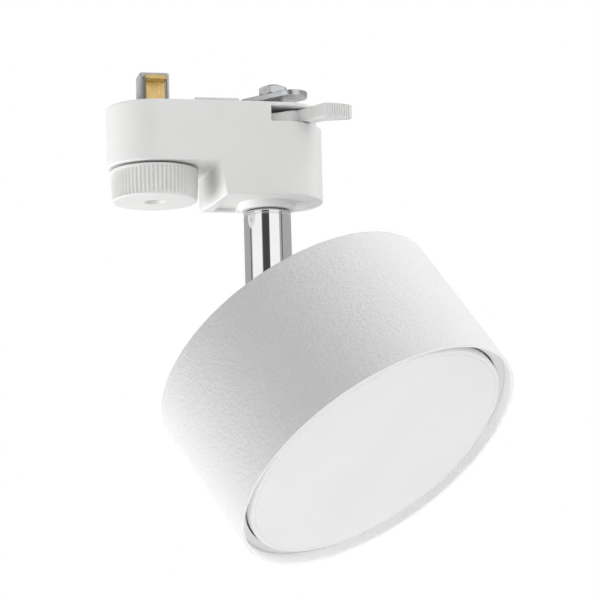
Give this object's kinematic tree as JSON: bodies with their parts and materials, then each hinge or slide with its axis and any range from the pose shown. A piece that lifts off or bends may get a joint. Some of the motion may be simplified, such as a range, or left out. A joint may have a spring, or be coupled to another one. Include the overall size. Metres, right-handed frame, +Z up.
{
  "type": "track spotlight",
  "caption": "Single-phase track spotlight: a track adapter with contact knob and lock lever, a chrome swivel stem and a tilting drum head with a flat disc lamp.",
  "frame": {"origin": "centre of the adapter's top face, where it seats against the underside of the track", "axes": "+Z up into the track, +X along the track from the contact knob towards the stem, -Y the side that the lever's finger sweeps through"},
  "size_m": [0.1024, 0.0913, 0.1306],
  "materials": {
    "adapter_white": "white moulded polycarbonate, satin",
    "inner_grey": "light grey moulded plastic",
    "drum_powder_coat": "white fine-texture powder coat",
    "lamp_white": "white moulded plastic",
    "lamp_opal": "opal polycarbonate, satin",
    "stem_chrome": "bright chrome plating",
    "zinc_steel": "zinc-plated steel",
    "contact_brass": "plain brass",
    "circuit_board": "white solder mask",
    "wire_brown": "brown insulation",
    "wire_blue": "blue insulation",
    "grommet_rubber": "pale grey rubber"
  },
  "bodies": {
    "adapter": {"adapter_housing": "adapter_white", "adapter_cover": "adapter_white", "cover_screw_front": "zinc_steel", "cover_screw_back": "zinc_steel", "terminal_block": "inner_grey", "terminal_screw_live": "contact_brass", "terminal_screw_neutral": "contact_brass", "pivot_plate": "inner_grey", "swivel_ring": "adapter_white", "adapter_wire_live": "wire_brown", "adapter_wire_neutral": "wire_blue"},
    "knob": {"contact_knob": "adapter_white", "contact_shaft": "inner_grey", "contact_blade_live": "contact_brass", "contact_blade_neutral": "contact_brass"},
    "lever": {"lock_lever": "adapter_white", "lever_shaft": "zinc_steel", "lock_tab": "zinc_steel", "tab_nut": "zinc_steel"},
    "stem": {"stem_tube": "stem_chrome", "stem_nipple": "zinc_steel", "stem_nut": "zinc_steel", "swivel_washer": "zinc_steel", "tilt_screw": "zinc_steel", "tilt_nut": "zinc_steel", "tilt_bush_front": "inner_grey", "tilt_bush_back": "inner_grey", "stem_wire_live": "wire_brown", "stem_wire_neutral": "wire_blue"},
    "head": {"tilt_bracket": "drum_powder_coat", "drum_shell": "drum_powder_coat", "drum_back": "drum_powder_coat", "trim_ring": "lamp_white", "bracket_screw_left": "zinc_steel", "bracket_screw_right": "zinc_steel", "bracket_nut_left": "zinc_steel", "bracket_nut_right": "zinc_steel", "holder_screw_left": "zinc_steel", "holder_screw_right": "zinc_steel", "cable_grommet": "grommet_rubber", "lampholder": "inner_grey", "head_wire_live": "wire_brown", "head_wire_neutral": "wire_blue"},
    "lamp": {"lamp_body": "lamp_white", "lamp_diffuser": "lamp_opal", "lamp_pin_front": "contact_brass", "lamp_pin_back": "contact_brass", "led_board": "circuit_board", "lamp_driver": "circuit_board"}
  },
  "joints": [
    {"name": "knob_turn", "type": "hinge", "parent": "adapter", "child": "knob", "pos_m": [-0.0164, 0, -0.0252], "axis": [0, 0, 1], "range_deg": [-90, 0]},
    {"name": "lever_turn", "type": "hinge", "parent": "adapter", "child": "lever", "pos_m": [0.0164, 0, -0.004], "axis": [0, 0, 1], "range_deg": [-38, 52]},
    {"name": "stem_swivel", "type": "hinge", "parent": "adapter", "child": "stem", "pos_m": [0.0139, 0, -0.0272], "axis": [0, 0, 1], "range_deg": [-170, 170]},
    {"name": "head_tilt", "type": "hinge", "parent": "stem", "child": "head", "pos_m": [0.0139, 0, -0.0526], "axis": [-0.7501, -0.6613, 0], "range_deg": [-91.6, 16.4]},
    {"name": "lamp_twist", "type": "hinge", "parent": "head", "child": "lamp", "pos_m": [0.03617, -0.02526, -0.09633], "axis": [-0.4035, 0.4577, 0.7923], "range_deg": [0, 18]}
  ]
}
